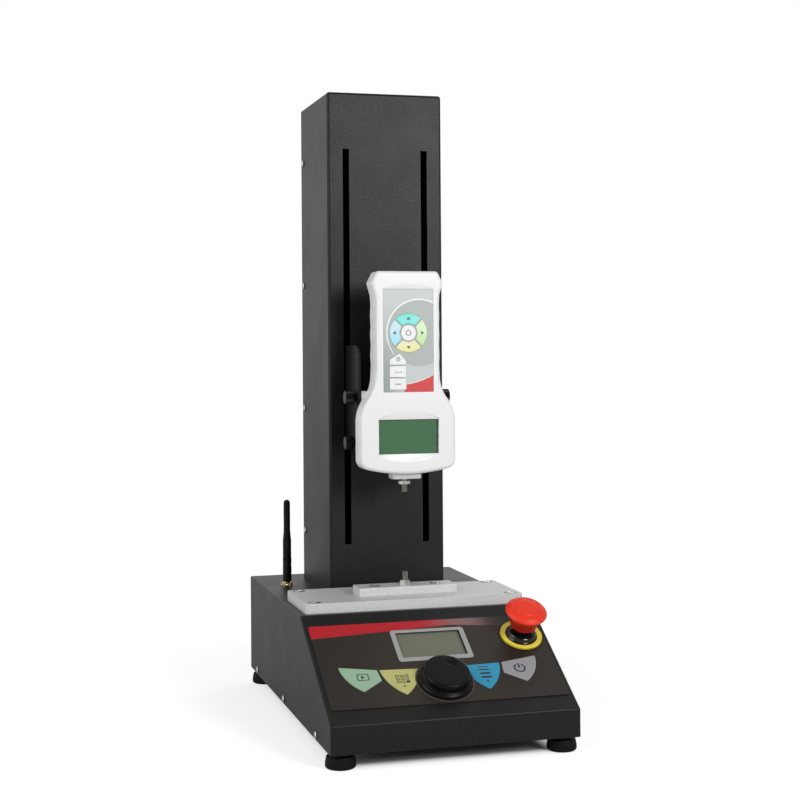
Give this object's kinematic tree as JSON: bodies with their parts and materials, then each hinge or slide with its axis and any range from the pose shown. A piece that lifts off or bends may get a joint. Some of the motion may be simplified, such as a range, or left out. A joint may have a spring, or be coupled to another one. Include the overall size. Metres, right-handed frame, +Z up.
{
  "type": "universal testing machine",
  "caption": "Motorised bench force-test stand: wedge-fronted base with control panel, table plate, slotted column and a sliding crosshead holding a hand-held force gauge.",
  "frame": {"origin": "on the floor, in the middle of the footprint's bounding box", "axes": "+X to the user's right, +Y away from the user, +Z up along the column and the loading axis"},
  "size_m": [0.2436, 0.405, 0.6512],
  "materials": {
    "black_powder_coat": "fine-texture satin powder coat",
    "foot_rubber": "matte",
    "zinc_screws": "bright zinc plate",
    "stud_steel": "turned steel",
    "panel_film": "satin printed film",
    "display_glass": "liquid crystal glass",
    "circuit_board": "solder mask",
    "socket_brass": "plated brass",
    "black_plastic": "moulded, satin",
    "stop_yellow": "satin",
    "stop_red": "moulded, semi-gloss",
    "plate_aluminium": "fine-ground, clear anodised",
    "motor_paint": "satin",
    "gauge_white": "moulded, semi-gloss",
    "keypad_film": "satin printed film",
    "key_green": "satin",
    "key_yellow": "satin",
    "key_blue": "satin",
    "key_teal": "satin",
    "key_grey": "satin"
  },
  "bodies": {
    "root": {"base_cover": "black_powder_coat", "base_pan": "black_powder_coat", "rubber_feet": "foot_rubber", "case_screws": "zinc_screws", "table_screws": "zinc_screws", "panel_overlay": "panel_film", "panel_display": "display_glass", "control_board": "circuit_board", "knob_encoder": "black_plastic", "stop_body": "black_plastic", "stop_ring": "stop_yellow", "table_plate": "plate_aluminium", "fixture_block": "plate_aluminium", "lower_stud": "stud_steel", "lower_nut": "zinc_screws", "column_cover": "black_powder_coat", "column_back": "black_powder_coat", "lower_bearing_plate": "plate_aluminium", "upper_bearing_plate": "plate_aluminium", "screw_bearings": "stud_steel", "guide_rods": "stud_steel", "drive_motor": "motor_paint", "limit_switches": "black_plastic", "antenna_socket": "socket_brass", "power_jack": "black_plastic"},
    "crosshead": {"carriage": "plate_aluminium", "linear_bushings": "stud_steel", "screw_nut": "socket_brass", "cheek_plates": "black_powder_coat", "carriage_screws": "zinc_screws", "gauge_front_shell": "gauge_white", "gauge_rear_shell": "gauge_white", "gauge_overlay": "keypad_film", "gauge_display": "display_glass", "load_cell": "plate_aluminium", "gauge_collar": "gauge_white", "upper_stud": "stud_steel", "stud_nut": "zinc_screws"},
    "drive_screw": {"lead_screw": "stud_steel"},
    "stop_stem": {"stop_plunger": "black_plastic"},
    "stop_mushroom": {"stop_head": "stop_red"},
    "jog_dial": {"jog_knob": "black_plastic"},
    "antenna_base": {"antenna_barrel": "black_plastic"},
    "antenna_mast": {"antenna_whip": "black_plastic"},
    "thumb_screw_left_lower_body": {"thumb_screw_left_lower": "black_plastic"},
    "thumb_screw_left_upper_body": {"thumb_screw_left_upper": "black_plastic"},
    "thumb_screw_right_lower_body": {"thumb_screw_right_lower": "black_plastic"},
    "thumb_screw_right_upper_body": {"thumb_screw_right_upper": "black_plastic"},
    "key_run_body": {"key_run": "key_green"},
    "key_digits_body": {"key_digits": "key_yellow"},
    "key_list_body": {"key_list": "key_blue"},
    "key_power_body": {"key_power": "key_grey"},
    "gauge_key_up_body": {"gauge_key_up": "key_teal"},
    "gauge_key_right_body": {"gauge_key_right": "key_green"},
    "gauge_key_down_body": {"gauge_key_down": "key_yellow"},
    "gauge_key_left_body": {"gauge_key_left": "key_blue"},
    "gauge_key_centre_body": {"gauge_key_centre": "gauge_white"},
    "gauge_soft_key_high_body": {"gauge_soft_key_high": "gauge_white"},
    "gauge_soft_key_middle_body": {"gauge_soft_key_middle": "gauge_white"},
    "gauge_soft_key_low_body": {"gauge_soft_key_low": "gauge_white"}
  },
  "joints": [
    {"name": "crosshead_lift", "type": "slide", "parent": "root", "child": "crosshead", "axis": [0, 0, 1], "range_m": [-0.078, 0.204]},
    {"name": "screw_spin", "type": "hinge", "parent": "root", "child": "drive_screw", "pos_m": [0, 0.0745, 0.3], "axis": [0, 0, 1], "continuous": true},
    {"name": "stop_press", "type": "slide", "parent": "root", "child": "stop_stem", "axis": [0, 0.511, -0.8596], "range_m": [0, 0.005], "stiffness_N_per_m": 1500},
    {"name": "stop_twist", "type": "hinge", "parent": "stop_stem", "child": "stop_mushroom", "pos_m": [0.0934, -0.12324, 0.11199], "axis": [0, -0.511, 0.8596], "range_deg": [-40, 0], "stiffness_Nm_per_rad": 0.05},
    {"name": "jog_turn", "type": "hinge", "parent": "root", "child": "jog_dial", "pos_m": [0, -0.16379, 0.07043], "axis": [0, -0.511, 0.8596], "continuous": true},
    {"name": "antenna_swivel", "type": "hinge", "parent": "root", "child": "antenna_base", "pos_m": [-0.0925, 0.1265, 0.123], "axis": [0, 0, 1], "range_deg": [-90, 90]},
    {"name": "antenna_tilt", "type": "hinge", "parent": "antenna_base", "child": "antenna_mast", "pos_m": [-0.0925, 0.1265, 0.144], "axis": [0, -1, 0], "range_deg": [0, 90]},
    {"name": "thumb_screw_left_lower_turn", "type": "hinge", "parent": "crosshead", "child": "thumb_screw_left_lower_body", "pos_m": [-0.05, 0.0015, 0.2819], "axis": [-1, 0, 0], "continuous": true},
    {"name": "thumb_screw_left_upper_turn", "type": "hinge", "parent": "crosshead", "child": "thumb_screw_left_upper_body", "pos_m": [-0.05, 0.0015, 0.329], "axis": [-1, 0, 0], "continuous": true},
    {"name": "thumb_screw_right_lower_turn", "type": "hinge", "parent": "crosshead", "child": "thumb_screw_right_lower_body", "pos_m": [0.05, 0.0015, 0.2819], "axis": [1, 0, 0], "continuous": true},
    {"name": "thumb_screw_right_upper_turn", "type": "hinge", "parent": "crosshead", "child": "thumb_screw_right_upper_body", "pos_m": [0.05, 0.0015, 0.329], "axis": [1, 0, 0], "continuous": true},
    {"name": "key_run_press", "type": "slide", "parent": "root", "child": "key_run_body", "axis": [0, 0.511, -0.8596], "range_m": [0, 0.0004], "stiffness_N_per_m": 3000},
    {"name": "key_digits_press", "type": "slide", "parent": "root", "child": "key_digits_body", "axis": [0, 0.511, -0.8596], "range_m": [0, 0.0004], "stiffness_N_per_m": 3000},
    {"name": "key_list_press", "type": "slide", "parent": "root", "child": "key_list_body", "axis": [0, 0.511, -0.8596], "range_m": [0, 0.0004], "stiffness_N_per_m": 3000},
    {"name": "key_power_press", "type": "slide", "parent": "root", "child": "key_power_body", "axis": [0, 0.511, -0.8596], "range_m": [0, 0.0004], "stiffness_N_per_m": 3000},
    {"name": "gauge_key_up_press", "type": "slide", "parent": "crosshead", "child": "gauge_key_up_body", "axis": [0, 1, 0], "range_m": [0, 0.0004], "stiffness_N_per_m": 3000},
    {"name": "gauge_key_right_press", "type": "slide", "parent": "crosshead", "child": "gauge_key_right_body", "axis": [0, 1, 0], "range_m": [0, 0.0004], "stiffness_N_per_m": 3000},
    {"name": "gauge_key_down_press", "type": "slide", "parent": "crosshead", "child": "gauge_key_down_body", "axis": [0, 1, 0], "range_m": [0, 0.0004], "stiffness_N_per_m": 3000},
    {"name": "gauge_key_left_press", "type": "slide", "parent": "crosshead", "child": "gauge_key_left_body", "axis": [0, 1, 0], "range_m": [0, 0.0004], "stiffness_N_per_m": 3000},
    {"name": "gauge_key_centre_press", "type": "slide", "parent": "crosshead", "child": "gauge_key_centre_body", "axis": [0, 1, 0], "range_m": [0, 0.0004], "stiffness_N_per_m": 3000},
    {"name": "gauge_soft_key_high_press", "type": "slide", "parent": "crosshead", "child": "gauge_soft_key_high_body", "axis": [0, 1, 0], "range_m": [0, 0.0004], "stiffness_N_per_m": 3000},
    {"name": "gauge_soft_key_middle_press", "type": "slide", "parent": "crosshead", "child": "gauge_soft_key_middle_body", "axis": [0, 1, 0], "range_m": [0, 0.0004], "stiffness_N_per_m": 3000},
    {"name": "gauge_soft_key_low_press", "type": "slide", "parent": "crosshead", "child": "gauge_soft_key_low_body", "axis": [0, 1, 0], "range_m": [0, 0.0004], "stiffness_N_per_m": 3000}
  ],
  "couplings": [
    {"joint": "screw_spin", "follows": "crosshead_lift", "rad_per_m": -628.32}
  ]
}
